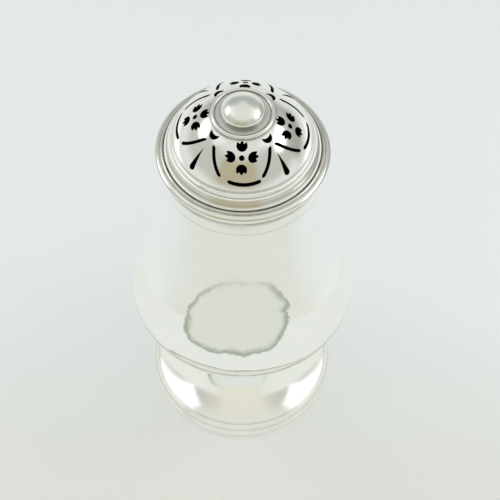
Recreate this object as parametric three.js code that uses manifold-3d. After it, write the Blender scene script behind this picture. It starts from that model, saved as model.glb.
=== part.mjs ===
// A silver pounce pot: a pear-shaped pot on a spreading foot, with a pull-off pierced cover.
// Lengths are in millimetres and +Z is up. The origin is the centre of the foot's standing face.

import * as THREE from 'three';
import { mergeVertices } from 'three/addons/utils/BufferGeometryUtils.js';
import Module from 'manifold-3d';

const wasm = await Module();
wasm.setup();

// Sheet and fits
const SHEET = 0.8;
const SLEEVE_WALL = 1.24;
const SLEEVE_CLEARANCE = 0.2;
const SEAT_GAP = 0.1;
const SOLDER_GAP = 0.05;

// Foot wire: a bead below an ovolo
const FOOT_RADIUS = 17.5;
const STANDING_WIDTH = 2.0;
const BEAD_RADIUS = 1.05;
const BEAD_HEIGHT = 1.05;
const OVOLO_RADIUS = 1.0;
const OVOLO_HEIGHT = 2.15;
const OVOLO_INSET = 0.6;
const RIM_TOP = 3.06;

// Foot sheet: filed level where it stands on the wire, then a sweep up to the stem
const TOE_INSET = 1.23;
const TOE_LAND = 1.8;
const STEM_RADIUS = 7.6;
const STEM_TOP = 16.5;

// Pot
const BELLY_RADIUS = 20.05;
const BELLY_HEIGHT = 28.6;
const BASE_LAND = 0.3;
const NECK_RADIUS = 12.4;
const NECK_BELOW_SKIRT = 3.84;
const MOUTH_HEIGHT = 68.5;

// Cover: a sleeve, a reeded cornice wire and a stepped border that rises to the dome
const SKIRT_LENGTH = 4.76;
const CORNICE_OVERHANG = 0.76;
const CORNICE_DEPTH = 1.4;
const CORNICE_BATTER = 0.15;
const CORNICE_WIDTH = 1.5;
const CORNICE_LIP = 0.45;
const REED_INSET = 0.92;
const REED_RISE = 0.83;
const REED_BULGE = 0.12;
const BORDER_HEIGHT = 1.15;
const BORDER_WIDTH = 1.55;
const BORDER_RISE = 2.87;
const BEVEL_WIDTH = 0.5;
const BEVEL_RISE = 0.88;
const COVE_WIDTH = 0.72;
const COVE_RISE = 0.9;
const BORDER_BULGE = 0.1;
const DOME_FOOT_ANGLE = 61.5;
const SEAT_WIDTH = 1.15;

// Knob: a beaded boss and a button
const BOSS_RADIUS = 5.27;
const BOSS_HEIGHT = 0.72;
const BOSS_BEAD = 0.38;
const BOSS_GROOVE = 0.11;
const KNOB_NECK_RADIUS = 2.5;
const BUTTON_RADIUS = 3.6;
const BUTTON_UNDERCUT = 0.35;
const BUTTON_EDGE = 0.35;
const BUTTON_CHAMFER = 0.12;
const BUTTON_HEIGHT = 2.1;

// Piercing: four panels with a sprig in a frame of slots, and a crescent and a drop between them
const PANELS = 4;
const PANEL_FROM_BOSS = 2.89;
const EYE_RADIUS = 0.48;
const PETALS = 4;
const PETAL_REACH = 1.91;
const PETAL_RADIUS = 0.92;
const SLOT_WIDTH = 0.7;
const SIDE_SLOT_TOP = [4.8, 0.5];
const SIDE_SLOT_BEND = [4.75, -1.9];
const SIDE_SLOT_FOOT = [3.6, -3.35];
const BOTTOM_SLOT_HALF = 2.5;
const BOTTOM_SLOT_FROM_FOOT = 1.76;
const BOTTOM_SLOT_SAG = 0.6;
const CRESCENT_FROM_BOSS = 0.72;
const CRESCENT_RADIUS = 0.94;
const CRESCENT_HORN = 0.3;
const CRESCENT_DEPTH = 0.9;
const DROP_LENGTH = 4.5;
const DROP_RADIUS = 0.54;
const DROP_FROM_FOOT = 0.85;

// How far round from an even division the saw set each panel's parts, in degrees
const FLOWER_TURNS = [-9.5, -3, -3.8, -1];
const SIDE_SLOT_TURNS = [-5.6, -3, -2.8, -1.2];
const BOTTOM_SLOT_TURNS = [-6, -3, -4.9, 1.6];
const CRESCENT_TURN = -4.3;
const DROP_TURN = -3.7;

// Curve handles, as shares of each curve's width and height
const FLARE_TOE = [0.57, 0.18];
const FLARE_STEM = [1, 0.48];
const BASE_MIDDLE = [0.2, 0.2];
const BASE_BRIM = [1, 0.69];
const WALL_BRIM = [0, 0.083];
const WALL_NECK = [1, 0.08];
const BOSS_START = [0.6, 0];
const BOSS_END = [1, 0.56];
const BUTTON_START = [0.22, 0.62];
const BUTTON_END = [0.6, 1];

// The petal's three points, across and out, as shares of its radius
const PETAL_POINTS = [[0.86, 0.68], [0.36, 0.42], [0, 0.98], [-0.36, 0.42], [-0.86, 0.68]];

// Fineness of the round surfaces
const SEGMENTS = 36;
const CURVE_STEPS = 9;
const DOME_STEPS = 7;
const BEAD_STEPS = 5;
const REED_STEPS = 3;
const HOLE_STEPS = 5;
const CUT_MARGIN = 0.6;

// Heights and radii that follow from the sizes above
const STANDING_OUTER = FOOT_RADIUS - BEAD_RADIUS / 2;
const STANDING_INNER = STANDING_OUTER - STANDING_WIDTH;
const TOE_RADIUS = FOOT_RADIUS - TOE_INSET;
const SEAT_HEIGHT = MOUTH_HEIGHT + SEAT_GAP;
const SKIRT_BOTTOM = SEAT_HEIGHT - SKIRT_LENGTH;
const NECK_FOOT = SKIRT_BOTTOM - NECK_BELOW_SKIRT;
const SLEEVE_BORE = NECK_RADIUS + SLEEVE_CLEARANCE;
const SLEEVE_RADIUS = SLEEVE_BORE + SLEEVE_WALL;
const CORNICE_BOTTOM = SEAT_HEIGHT - CORNICE_DEPTH;
const CORNICE_RADIUS = SLEEVE_RADIUS + CORNICE_OVERHANG;
const BORDER_RADIUS = CORNICE_RADIUS - CORNICE_WIDTH;
const BORDER_FOOT = SEAT_HEIGHT + BORDER_HEIGHT;
const DOME_FOOT = BORDER_FOOT + BORDER_RISE;
const DOME_FOOT_RADIUS = BORDER_RADIUS - BORDER_WIDTH;
const DOME_RADIUS = DOME_FOOT_RADIUS / Math.sin(THREE.MathUtils.degToRad(DOME_FOOT_ANGLE));
const DOME_CENTRE = DOME_FOOT - DOME_RADIUS * Math.cos(THREE.MathUtils.degToRad(DOME_FOOT_ANGLE));
const DOME_BORE = DOME_RADIUS - SHEET;
const BOSS_ANGLE = THREE.MathUtils.radToDeg(Math.asin(BOSS_RADIUS / DOME_RADIUS));
const CROWN_HEIGHT = DOME_CENTRE + Math.sqrt(DOME_RADIUS ** 2 - BOSS_RADIUS ** 2);
const BOSS_TOP = CROWN_HEIGHT + BOSS_HEIGHT;

const point = (radius, height) => new THREE.Vector2(radius, height);

// Points along an arc in the outline's plane, from one angle to another in degrees
function arc(centre, radius, from, to, steps) {
  const start = THREE.MathUtils.degToRad(from);
  const end = THREE.MathUtils.degToRad(to);
  return new THREE.EllipseCurve(centre.x, centre.y, radius, radius, start, end, to < from).getPoints(steps);
}

// Points along a curve between two points, steered by two handles
function sweep(start, startHandle, endHandle, end, steps) {
  const handle = ([across, up]) => point(
    THREE.MathUtils.lerp(start.x, end.x, across),
    THREE.MathUtils.lerp(start.y, end.y, up),
  );
  return new THREE.CubicBezierCurve(start, handle(startHandle), handle(endHandle), end).getPoints(steps);
}

// A moulding through given corners, with a low reed or hollow between each two of them
function moulding(corners, bulges) {
  const outline = [corners[0]];
  bulges.forEach((bulge, i) => {
    const along = corners[i + 1].clone().sub(corners[i]);
    const outward = point(along.y, -along.x).normalize();
    for (let step = 1; step <= REED_STEPS; step += 1) {
      const share = step / REED_STEPS;
      const lift = bulge * Math.sin(Math.PI * share);
      outline.push(corners[i].clone().addScaledVector(along, share).addScaledVector(outward, lift));
    }
  });
  return outline;
}

// The same line moved inward by the sheet's thickness, in reverse order
function innerFace(outer) {
  const inner = outer.map((here, i) => {
    const before = outer[Math.max(i - 1, 0)];
    const after = outer[Math.min(i + 1, outer.length - 1)];
    const along = after.clone().sub(before).setLength(SHEET);
    return here.clone().add(point(-along.y, along.x));
  });
  return inner.reverse();
}

// A solid turned round the Z axis from an outline that starts and ends on the axis
function turned(outline) {
  const geometry = new THREE.LatheGeometry(outline, SEGMENTS);
  geometry.rotateX(Math.PI / 2);
  return geometry;
}

// A ring turned from an outline that closes on itself
function turnedRing(outline) {
  return turned([...outline, outline[0].clone()]);
}

function toManifold(geometry) {
  const bare = geometry.clone();
  bare.deleteAttribute('normal');
  bare.deleteAttribute('uv');
  const merged = mergeVertices(bare);
  return new wasm.Manifold(new wasm.Mesh({
    numProp: 3,
    vertProperties: new Float32Array(merged.attributes.position.array),
    triVerts: new Uint32Array(merged.index.array),
  }));
}

function fromManifold(solid) {
  const mesh = solid.getMesh();
  const geometry = new THREE.BufferGeometry();
  geometry.setAttribute('position', new THREE.BufferAttribute(new Float32Array(mesh.vertProperties), 3));
  geometry.setIndex(new THREE.BufferAttribute(new Uint32Array(mesh.triVerts), 1));
  geometry.computeVertexNormals();
  return geometry;
}

// The moulded wire that the pot stands on, with a level top for the foot's sheet
function footRim() {
  const bead = point(FOOT_RADIUS - BEAD_RADIUS, BEAD_HEIGHT);
  const ovolo = point(FOOT_RADIUS - OVOLO_INSET - OVOLO_RADIUS, OVOLO_HEIGHT);
  return turnedRing([
    point(STANDING_INNER, 0),
    point(STANDING_OUTER, 0),
    ...arc(bead, BEAD_RADIUS, -60, 55, BEAD_STEPS),
    ...arc(ovolo, OVOLO_RADIUS, 0, 60, BEAD_STEPS - 1),
    point(TOE_RADIUS + SOLDER_GAP, RIM_TOP),
    point(TOE_RADIUS - TOE_LAND, RIM_TOP),
    point(STANDING_INNER, OVOLO_HEIGHT),
  ]);
}

// The spun foot, soldered on the wire and under the pot
function footFlare() {
  const toe = point(TOE_RADIUS, RIM_TOP);
  const stem = point(STEM_RADIUS, STEM_TOP);
  const outer = sweep(toe, FLARE_TOE, FLARE_STEM, stem, CURVE_STEPS);
  const inner = innerFace(outer).filter((here) => here.y > RIM_TOP);
  inner[0].set(STEM_RADIUS - SHEET, STEM_TOP);
  return turnedRing([...outer, ...inner, point(TOE_RADIUS - TOE_LAND, RIM_TOP)]);
}

// The pot's underside: a bowl soldered to the wall at its widest circle and to the foot's stem
function potBase() {
  const land = point(STEM_RADIUS + BASE_LAND, STEM_TOP);
  const brim = point(BELLY_RADIUS, BELLY_HEIGHT);
  const outer = sweep(land, BASE_MIDDLE, BASE_BRIM, brim, CURVE_STEPS);
  const inner = innerFace(outer);
  inner[0].set(BELLY_RADIUS - SHEET, BELLY_HEIGHT);
  return turned([
    point(0, STEM_TOP),
    ...outer,
    ...inner,
    point(0, inner[inner.length - 1].y),
  ]);
}

// The pot's wall: from the widest circle up to a straight neck that the cover slips over
function potWall() {
  const brim = point(BELLY_RADIUS, BELLY_HEIGHT);
  const neck = point(NECK_RADIUS, NECK_FOOT);
  const mouth = point(NECK_RADIUS, MOUTH_HEIGHT);
  const outer = [...sweep(brim, WALL_BRIM, WALL_NECK, neck, CURVE_STEPS + 2), mouth];
  const inner = innerFace(outer);
  inner[inner.length - 1].set(BELLY_RADIUS - SHEET, BELLY_HEIGHT);
  return turnedRing([...outer, ...inner]);
}

// The cover's sleeve, which slides over the pot's neck
function coverSkirt() {
  return turnedRing([
    point(SLEEVE_BORE, SKIRT_BOTTOM),
    point(SLEEVE_RADIUS, SKIRT_BOTTOM),
    point(SLEEVE_RADIUS, CORNICE_BOTTOM),
    point(SLEEVE_BORE, CORNICE_BOTTOM),
  ]);
}

// The reeded wire round the cover's edge, with a ledge under the dome's border
function coverCornice() {
  const bore = BORDER_RADIUS + SOLDER_GAP;
  const lip = point(CORNICE_RADIUS, SEAT_HEIGHT + CORNICE_LIP);
  const reed = point(CORNICE_RADIUS - REED_INSET, SEAT_HEIGHT + REED_RISE);
  const crevice = point(bore, BORDER_FOOT);
  return turnedRing([
    point(SLEEVE_BORE, CORNICE_BOTTOM),
    point(SLEEVE_RADIUS + SOLDER_GAP, CORNICE_BOTTOM),
    point(CORNICE_RADIUS - CORNICE_BATTER, SEAT_HEIGHT - CORNICE_BATTER),
    ...moulding([lip, reed, crevice], [REED_BULGE, REED_BULGE]),
    point(bore, SEAT_HEIGHT),
    point(SLEEVE_BORE, SEAT_HEIGHT),
  ]);
}

// A place on a dome: x runs round it and y up towards its top, both along the outer surface
function onDome(x, y, radius, downAngle, roundAngle) {
  const down = THREE.MathUtils.degToRad(downAngle) - y / DOME_RADIUS;
  const round = THREE.MathUtils.degToRad(roundAngle) + x / (DOME_RADIUS * Math.sin(down));
  return [
    radius * Math.sin(down) * Math.cos(round),
    radius * Math.sin(down) * Math.sin(round),
    DOME_CENTRE + radius * Math.cos(down),
  ];
}

// The angle down from the dome's top to a place some way below the boss's edge
function belowBoss(distance) {
  return BOSS_ANGLE + THREE.MathUtils.radToDeg(distance / DOME_RADIUS);
}

// The angle down from the dome's top to a place some way above the dome's foot
function aboveFoot(distance) {
  return DOME_FOOT_ANGLE - THREE.MathUtils.radToDeg(distance / DOME_RADIUS);
}

// A cutter through the dome's sheet: a flat shape wrapped on the dome and stretched along its rays
function domeCutter(shape, downAngle, roundAngle) {
  const depth = SHEET + 2 * CUT_MARGIN;
  const geometry = new THREE.ExtrudeGeometry(shape, {
    depth,
    bevelEnabled: false,
    curveSegments: HOLE_STEPS,
  });
  const position = geometry.attributes.position;
  for (let i = 0; i < position.count; i += 1) {
    const radius = DOME_BORE - CUT_MARGIN + position.getZ(i);
    position.setXYZ(i, ...onDome(position.getX(i), position.getY(i), radius, downAngle, roundAngle));
  }
  return toManifold(geometry);
}

function eyeShape() {
  return new THREE.Shape().absarc(0, 0, EYE_RADIUS, 0, 2 * Math.PI, false);
}

// A petal: a round heel towards the eye and three points away from it, turned to its direction
function petalShape(direction) {
  const outline = arc(point(0, 0), PETAL_RADIUS, 180, 360, HOLE_STEPS);
  PETAL_POINTS.forEach((corner) => outline.push(point(...corner).multiplyScalar(PETAL_RADIUS)));
  const reach = point(0, PETAL_REACH);
  const eye = point(0, 0);
  outline.forEach((corner) => corner.add(reach).rotateAround(eye, direction));
  return new THREE.Shape(outline);
}

// A sawn slot of even width along a curve, with pointed ends
function slotShape(curve) {
  const middle = curve.getPoints(HOLE_STEPS - 1);
  const side = (share, i) => {
    const along = curve.getTangent(i / (HOLE_STEPS - 1));
    return middle[i].clone().add(point(-along.y, along.x).multiplyScalar(share * SLOT_WIDTH));
  };
  const left = middle.map((here, i) => side(0.5, i));
  const right = middle.map((here, i) => side(-0.5, i));
  const tail = curve.getPoint(0).addScaledVector(curve.getTangent(0), -SLOT_WIDTH / 2);
  const nose = curve.getPoint(1).addScaledVector(curve.getTangent(1), SLOT_WIDTH / 2);
  return new THREE.Shape([tail, ...right, nose, ...left.reverse()]);
}

function sideSlotShape(side) {
  const [top, bend, foot] = [SIDE_SLOT_TOP, SIDE_SLOT_BEND, SIDE_SLOT_FOOT].map(
    ([across, up]) => point(side * across, up),
  );
  return slotShape(new THREE.QuadraticBezierCurve(top, bend, foot));
}

function bottomSlotShape() {
  return slotShape(new THREE.QuadraticBezierCurve(
    point(-BOTTOM_SLOT_HALF, 0),
    point(0, -BOTTOM_SLOT_SAG),
    point(BOTTOM_SLOT_HALF, 0),
  ));
}

// A disc with its side towards the knob bitten out by a larger circle through its two horns
function crescentShape() {
  const half = Math.sqrt(CRESCENT_RADIUS ** 2 - CRESCENT_HORN ** 2);
  const bottom = CRESCENT_DEPTH - CRESCENT_RADIUS;
  const sag = CRESCENT_HORN - bottom;
  const biteRadius = (half ** 2 + sag ** 2) / (2 * sag);
  const bite = point(0, bottom + biteRadius);
  const hornAngle = THREE.MathUtils.radToDeg(Math.asin(CRESCENT_HORN / CRESCENT_RADIUS));
  const biteAngle = THREE.MathUtils.radToDeg(Math.asin(half / biteRadius));
  const outer = arc(point(0, 0), CRESCENT_RADIUS, 180 - hornAngle, 360 + hornAngle, 2 * HOLE_STEPS);
  const inner = arc(bite, biteRadius, biteAngle - 90, -90 - biteAngle, HOLE_STEPS);
  return new THREE.Shape([...outer, ...inner.slice(1, -1)]);
}

// A long drop: a point towards the knob and, at the origin, a round end towards the border
function dropShape() {
  const reach = DROP_LENGTH - DROP_RADIUS;
  const open = THREE.MathUtils.radToDeg(Math.acos(DROP_RADIUS / reach));
  const end = arc(point(0, 0), DROP_RADIUS, 90 + open, 450 - open, HOLE_STEPS + 1);
  return new THREE.Shape([point(0, reach), ...end]);
}

// All the holes of the pierced dome, as cutters
function piercing() {
  const cutters = [];
  const panelAngle = belowBoss(PANEL_FROM_BOSS);
  for (let panel = 0; panel < PANELS; panel += 1) {
    const middle = (360 / PANELS) * panel;
    const between = middle + 180 / PANELS;
    const flower = middle + FLOWER_TURNS[panel];
    const frame = middle + SIDE_SLOT_TURNS[panel];
    const bottom = middle + BOTTOM_SLOT_TURNS[panel];
    cutters.push(domeCutter(eyeShape(), panelAngle, flower));
    for (let petal = 0; petal < PETALS; petal += 1) {
      cutters.push(domeCutter(petalShape(2 * Math.PI * (petal / PETALS)), panelAngle, flower));
    }
    cutters.push(domeCutter(sideSlotShape(-1), panelAngle, frame));
    cutters.push(domeCutter(sideSlotShape(1), panelAngle, frame));
    cutters.push(domeCutter(bottomSlotShape(), aboveFoot(BOTTOM_SLOT_FROM_FOOT), bottom));
    cutters.push(domeCutter(crescentShape(), belowBoss(CRESCENT_FROM_BOSS), between + CRESCENT_TURN));
    cutters.push(domeCutter(dropShape(), aboveFoot(DROP_FROM_FOOT + DROP_RADIUS), between + DROP_TURN));
  }
  return cutters;
}

// The pierced dome with its stepped border, flat under the boss
function coverDome() {
  const centre = point(0, DOME_CENTRE);
  const crownBore = CROWN_HEIGHT - SHEET;
  const boreAngle = (height) => THREE.MathUtils.radToDeg(Math.asin((height - DOME_CENTRE) / DOME_BORE));
  const edge = point(BORDER_RADIUS, BORDER_FOOT);
  const bevel = point(edge.x - BEVEL_WIDTH, edge.y + BEVEL_RISE);
  const cove = point(bevel.x - COVE_WIDTH, bevel.y + COVE_RISE);
  const foot = point(DOME_FOOT_RADIUS, DOME_FOOT);
  const border = moulding([edge, bevel, cove, foot], [BORDER_BULGE, -BORDER_BULGE, BORDER_BULGE]);
  const blank = toManifold(turned([
    point(0, crownBore),
    ...arc(centre, DOME_BORE, boreAngle(crownBore), boreAngle(BORDER_FOOT), DOME_STEPS),
    point(BORDER_RADIUS - SEAT_WIDTH, SEAT_HEIGHT),
    point(BORDER_RADIUS, SEAT_HEIGHT),
    ...border.slice(0, -1),
    ...arc(centre, DOME_RADIUS, 90 - DOME_FOOT_ANGLE, 90 - BOSS_ANGLE, DOME_STEPS),
    point(0, CROWN_HEIGHT),
  ]));
  return fromManifold(piercing().reduce((solid, cutter) => solid.subtract(cutter), blank));
}

// The round boss that the knob stands on: a beaded edge, then a hollow rise to the knob's neck
function knobBoss() {
  const bead = point(BOSS_RADIUS - BOSS_BEAD, CROWN_HEIGHT + BOSS_BEAD / 2);
  const groove = point(BOSS_RADIUS - 2 * BOSS_BEAD, CROWN_HEIGHT + BOSS_BEAD - BOSS_GROOVE);
  const neck = point(KNOB_NECK_RADIUS, BOSS_TOP);
  return turned([
    point(0, CROWN_HEIGHT),
    ...arc(bead, BOSS_BEAD, -30, 150, BEAD_STEPS),
    ...sweep(groove, BOSS_START, BOSS_END, neck, REED_STEPS),
    point(0, BOSS_TOP),
  ]);
}

// The cast button: a narrow foot on the boss, an overhanging edge and a low dome
function knobButton() {
  const edge = point(BUTTON_RADIUS, BOSS_TOP + BUTTON_UNDERCUT);
  const shoulder = point(BUTTON_RADIUS - BUTTON_CHAMFER, edge.y + BUTTON_EDGE);
  const top = point(0, BOSS_TOP + BUTTON_HEIGHT);
  return turned([
    point(0, BOSS_TOP),
    point(KNOB_NECK_RADIUS, BOSS_TOP),
    edge,
    ...sweep(shoulder, BUTTON_START, BUTTON_END, top, CURVE_STEPS - 2),
  ]);
}

const POLISHED_SILVER = { color: 0xdfe0d6, roughness: 0.08, metalness: 1 };
const MOULDED_SILVER = { color: 0xd6d5c6, roughness: 0.14, metalness: 1 };
const CAST_SILVER = { color: 0xdbddcf, roughness: 0.06, metalness: 1 };

function piece(name, geometry, finish) {
  const mesh = new THREE.Mesh(geometry, new THREE.MeshStandardMaterial(finish));
  mesh.name = name;
  return mesh;
}

const pot = new THREE.Group();
pot.add(
  piece('foot_rim_wire', footRim(), MOULDED_SILVER),
  piece('foot_flare', footFlare(), POLISHED_SILVER),
  piece('pot_base', potBase(), POLISHED_SILVER),
  piece('pot_wall', potWall(), POLISHED_SILVER),
);

const cover = new THREE.Group();
cover.add(
  piece('cover_skirt', coverSkirt(), POLISHED_SILVER),
  piece('cover_cornice', coverCornice(), MOULDED_SILVER),
  piece('cover_dome', coverDome(), POLISHED_SILVER),
  piece('knob_boss', knobBoss(), CAST_SILVER),
  piece('knob_button', knobButton(), CAST_SILVER),
);

const pouncePot = new THREE.Group();
pouncePot.add(pot, cover);

export default pouncePot;
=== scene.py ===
"""A silver pounce pot: a pear-shaped pot on a spreading foot, with a pull-off pierced cover.

Outlines are in millimetres, as radius and height, and +Z is up. Meshes are written in metres.
"""

import bpy
import numpy as np
from mathutils import Matrix, Vector
from mathutils.geometry import delaunay_2d_cdt


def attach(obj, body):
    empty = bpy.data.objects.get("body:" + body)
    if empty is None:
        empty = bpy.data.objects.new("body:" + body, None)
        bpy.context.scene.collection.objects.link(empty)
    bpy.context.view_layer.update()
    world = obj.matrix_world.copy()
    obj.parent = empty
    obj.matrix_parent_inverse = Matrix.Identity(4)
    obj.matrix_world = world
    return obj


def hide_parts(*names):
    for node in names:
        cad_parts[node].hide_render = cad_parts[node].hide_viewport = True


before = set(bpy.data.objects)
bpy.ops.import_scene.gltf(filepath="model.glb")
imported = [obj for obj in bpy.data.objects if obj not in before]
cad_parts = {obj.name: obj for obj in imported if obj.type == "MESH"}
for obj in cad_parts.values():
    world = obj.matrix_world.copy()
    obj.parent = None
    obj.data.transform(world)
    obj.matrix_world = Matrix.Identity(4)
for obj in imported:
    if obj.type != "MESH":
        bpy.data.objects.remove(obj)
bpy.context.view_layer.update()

MM = 0.001

# Sheet and fits
SHEET = 0.8
SLEEVE_BORE = 12.6
SOLDER_GAP = 0.05

# Foot wire and foot sheet
FOOT_RADIUS = 17.5
STANDING_INNER = 14.975
STANDING_OUTER = 16.975
BEAD_RADIUS = 1.05
OVOLO_RADIUS = 1.0
OVOLO_HEIGHT = 2.15
OVOLO_INSET = 0.6
RIM_TOP = 3.06
TOE_RADIUS = 16.27
TOE_LAND = 1.8
STEM_RADIUS = 7.6
STEM_TOP = 16.5
FLARE_HANDLES = ((11.328, 5.479), (STEM_RADIUS, 9.511))

# Pot
BASE_FOOT_RADIUS = 7.9
BELLY_RADIUS = 20.045
BELLY_HEIGHT = 28.6
NECK_RADIUS = 12.4
NECK_FOOT = 60.0
MOUTH_HEIGHT = 68.5
BASE_HANDLES = ((10.33, 18.92), (BELLY_RADIUS, 24.85))
WALL_HANDLES = ((BELLY_RADIUS, 31.2), (NECK_RADIUS, 31.1))

# Cover: a sleeve, a reeded wire, and a stepped border that rises to the dome
SKIRT_BOTTOM = 63.84
SLEEVE_RADIUS = 13.84
CORNICE_BOTTOM = 67.2
CORNICE_EDGE = ((14.45, 68.45), (14.6, 69.05))
REED_VALLEY = (13.68, 69.43)
REED_END_RADIUS = 13.15
REED_BULGE = 0.12
SEAT_HEIGHT = 68.6
SEAT_WIDTH = 1.15
BORDER_RADIUS = 13.1
BORDER_FOOT = 69.75
BORDER_STEPS = ((12.6, 70.63), (11.88, 71.53))
BORDER_BULGE = 0.1
DOME_RADIUS = 13.143
DOME_BORE = DOME_RADIUS - SHEET
DOME_CENTRE = 66.3486
DOME_FOOT_ANGLE = 61.5

# Knob: a beaded boss on the crown of the dome, and a button measured from the boss's top
BOSS_RADIUS = 5.27
BOSS_ANGLE = np.degrees(np.arcsin(BOSS_RADIUS / DOME_RADIUS))
CROWN_HEIGHT = DOME_CENTRE + DOME_RADIUS * np.cos(np.radians(BOSS_ANGLE))
BOSS_HEIGHT = 0.72
BOSS_TOP = CROWN_HEIGHT + BOSS_HEIGHT
BOSS_BEAD = 0.38
BOSS_GROOVE = 0.11
BOSS_HANDLE_RADIUS = 3.3
BOSS_HANDLE_HEIGHT = 0.52
KNOB_NECK_RADIUS = 2.5
BUTTON_RADIUS = 3.6
BUTTON_UNDERCUT = 0.35
BUTTON_EDGE = 0.35
BUTTON_CHAMFER = 0.12
BUTTON_HEIGHT = 2.1
BUTTON_SHOULDER = (2.714, 1.568)
BUTTON_TOP_HANDLE = 1.392

# Piercing: lengths on the dome's surface, the petal's points in petal radii, and turns in
# degrees from an even division
PANELS = 4
EYE_RADIUS = 0.48
PETAL_REACH = 1.91
PETAL_RADIUS = 0.92
PETAL_POINTS = ((0.86, 0.68), (0.36, 0.42), (0, 0.98), (-0.36, 0.42), (-0.86, 0.68))
PETAL_BOWS = (0.02, 0.05, 0.06, 0.06, 0.05, 0.02)
SLOT_WIDTH = 0.7
SIDE_SLOT = ((4.8, 0.5), (4.75, -1.9), (3.6, -3.35))
BOTTOM_SLOT = ((-2.5, 0), (0, -0.6), (2.5, 0))
CRESCENT_RADIUS = 0.94
CRESCENT_HORN = 0.3
CRESCENT_DEPTH = 0.9
DROP_LENGTH = 4.5
DROP_RADIUS = 0.54
PANEL_ANGLE = BOSS_ANGLE + np.degrees(2.89 / DOME_RADIUS)
BOTTOM_SLOT_ANGLE = DOME_FOOT_ANGLE - np.degrees(1.76 / DOME_RADIUS)
CRESCENT_ANGLE = BOSS_ANGLE + np.degrees(0.72 / DOME_RADIUS)
DROP_ANGLE = DOME_FOOT_ANGLE - np.degrees(1.39 / DOME_RADIUS)
FLOWER_TURNS = (-9.5, -3.0, -3.8, -1.0)
SIDE_SLOT_TURNS = (-5.6, -3.0, -2.8, -1.2)
BOTTOM_SLOT_TURNS = (-6.0, -3.0, -4.9, 1.6)
CRESCENT_TURN = -4.3
DROP_TURN = -3.7
SAWN_EDGE = 0.03
SAWN_WALL = 0.35

# How far below an outer face, or above the cover's seat, the dull inside begins; it is drawn dark,
# tarnish with painted shade
POT_INSIDE = 0.48
SLEEVE_INSIDE = 0.6
SEAT_INSIDE = 0.3

# Fineness of the meshes
ROUND_STEPS = 240
READ_STEP = 0.02
LONGEST_STEP = 0.9
LARGEST_TURN = 5.0
EASE = 0.05
JOINT_REACH = 0.25
DOME_STEP = 0.42
NET_MARGIN = 0.012
BAND_FOOT = 0.5

# Where polish never reaches, tarnish and painted shade together: radius, height, how far the
# darkening spreads and how dark it is
CREVICES = np.array([
    (17.00, 1.98, 0.16, 0.25),
    (16.30, 3.06, 0.12, 0.25),
    (7.75, 16.5, 0.40, 0.9),
    (20.05, 28.6, 0.14, 0.8),
    (12.5, 63.8, 0.40, 0.8),
    (13.84, 63.84, 0.13, 0.9),
    (13.86, 67.2, 0.30, 0.8),
    (13.68, 69.43, 0.18, 0.7),
    (13.12, 69.72, 0.26, 1.0),
    (12.60, 70.63, 0.12, 0.4),
    (11.88, 71.53, 0.14, 0.5),
    (11.55, 72.62, 0.16, 0.6),
    (5.27, 78.39, 0.22, 0.8),
    (4.51, 78.65, 0.16, 0.6),
    (2.50, 79.11, 0.40, 1.0),
    # The boss's hollow round the button's neck: painted shade under the button, with tarnish
    (3.60, 78.75, 0.90, 0.45),
])

# Studio, in metres and degrees
BOARD_HALF = 2.0
BOARD_GLOW = 0.26
LAMP_HEIGHT = 0.190
SCREEN_REACH = 0.117
SCREEN_HEIGHT = 0.066
SCREEN_RISE = 0.019
STRIP_RADIUS = 0.028
GREEN_NEAR = 0.059
GREEN_RUN = 0.121
GREEN_BEND = 0.116
OFF_BOARD = 0.0004
CAMERA_ELEVATION = 56.26
CAMERA_ROLL = 0.25
CAMERA_REACH = 0.306
CAMERA_AIM = 0.03906

# Shades in the tent: azimuth, half width, lowest and highest elevation, softness, tint
TENT_SHADES = (
    (0.0, 172.0, 10.0, 54.0, 8.0, "#c0c2bb"),
    (-8.0, 32.0, 10.0, 50.0, 8.0, "#b4ad94"),
    (180.0, 40.0, 14.0, 44.0, 8.0, "#adb1b0"),
    (115.0, 26.0, 0.0, 22.0, 8.0, "#a4a7a0"),
)

# Cards: name, width, depth, height over the board, fading rim, strength
CARDS = (
    ("left_near_card", (-0.098, -0.050), (-0.036, 0.044), 0.060, 0.006, 1.1),
    ("right_near_card", (0.050, 0.098), (-0.036, 0.044), 0.060, 0.006, 1.1),
    ("left_high_card", (-0.094, -0.062), (-0.020, 0.060), 0.186, 0.020, 0.85),
    ("right_high_card", (0.064, 0.088), (-0.030, 0.050), 0.186, 0.020, 0.85),
)

# Strips before the foot: name, lowest and highest point, half angle, tint, where its fade starts
STRIPS = (
    ("foot_low_strip", OFF_BOARD, 0.0125, 50.0, "#dde2de", 0.5),
    ("foot_high_strip", 0.0125, 0.024, 52.0, "#e0dfd3", 0.3),
)

# Lamps: name, middle, width, depth, radiance
LAMPS = (
    ("left_soft_lamp", (-0.166, 0.064), 0.130, 0.130, 2.4),
    ("right_soft_lamp", (0.160, 0.014), 0.128, 0.165, 2.2),
)


# Outlines

def arc(centre, radius, start, end, count):
    """Points of a circle's arc: centre + radius times (cosine, sine) of an angle in degrees."""
    angle = np.radians(np.linspace(start, end, count))
    return np.column_stack([centre[0] + radius * np.cos(angle), centre[1] + radius * np.sin(angle)])


def sweep(start, start_handle, end_handle, end, count):
    """Points of a cubic Bezier curve between two points, steered by two handles."""
    t = np.linspace(0, 1, count)[:, None]
    a, b, c, d = (np.array(p, float) for p in (start, start_handle, end_handle, end))
    return (1 - t) ** 3 * a + 3 * (1 - t) ** 2 * t * b + 3 * (1 - t) * t ** 2 * c + t ** 3 * d


def reed(start, end, bulge, count=24):
    """A straight line between two points, pushed out by bulge times the sine of half a turn."""
    t = np.linspace(0, 1, count)[:, None]
    a, b = np.array(start, float), np.array(end, float)
    along = (b - a) / np.hypot(*(b - a))
    return a + t * (b - a) + bulge * np.sin(np.pi * t) * np.array([along[1], -along[0]])


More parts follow.
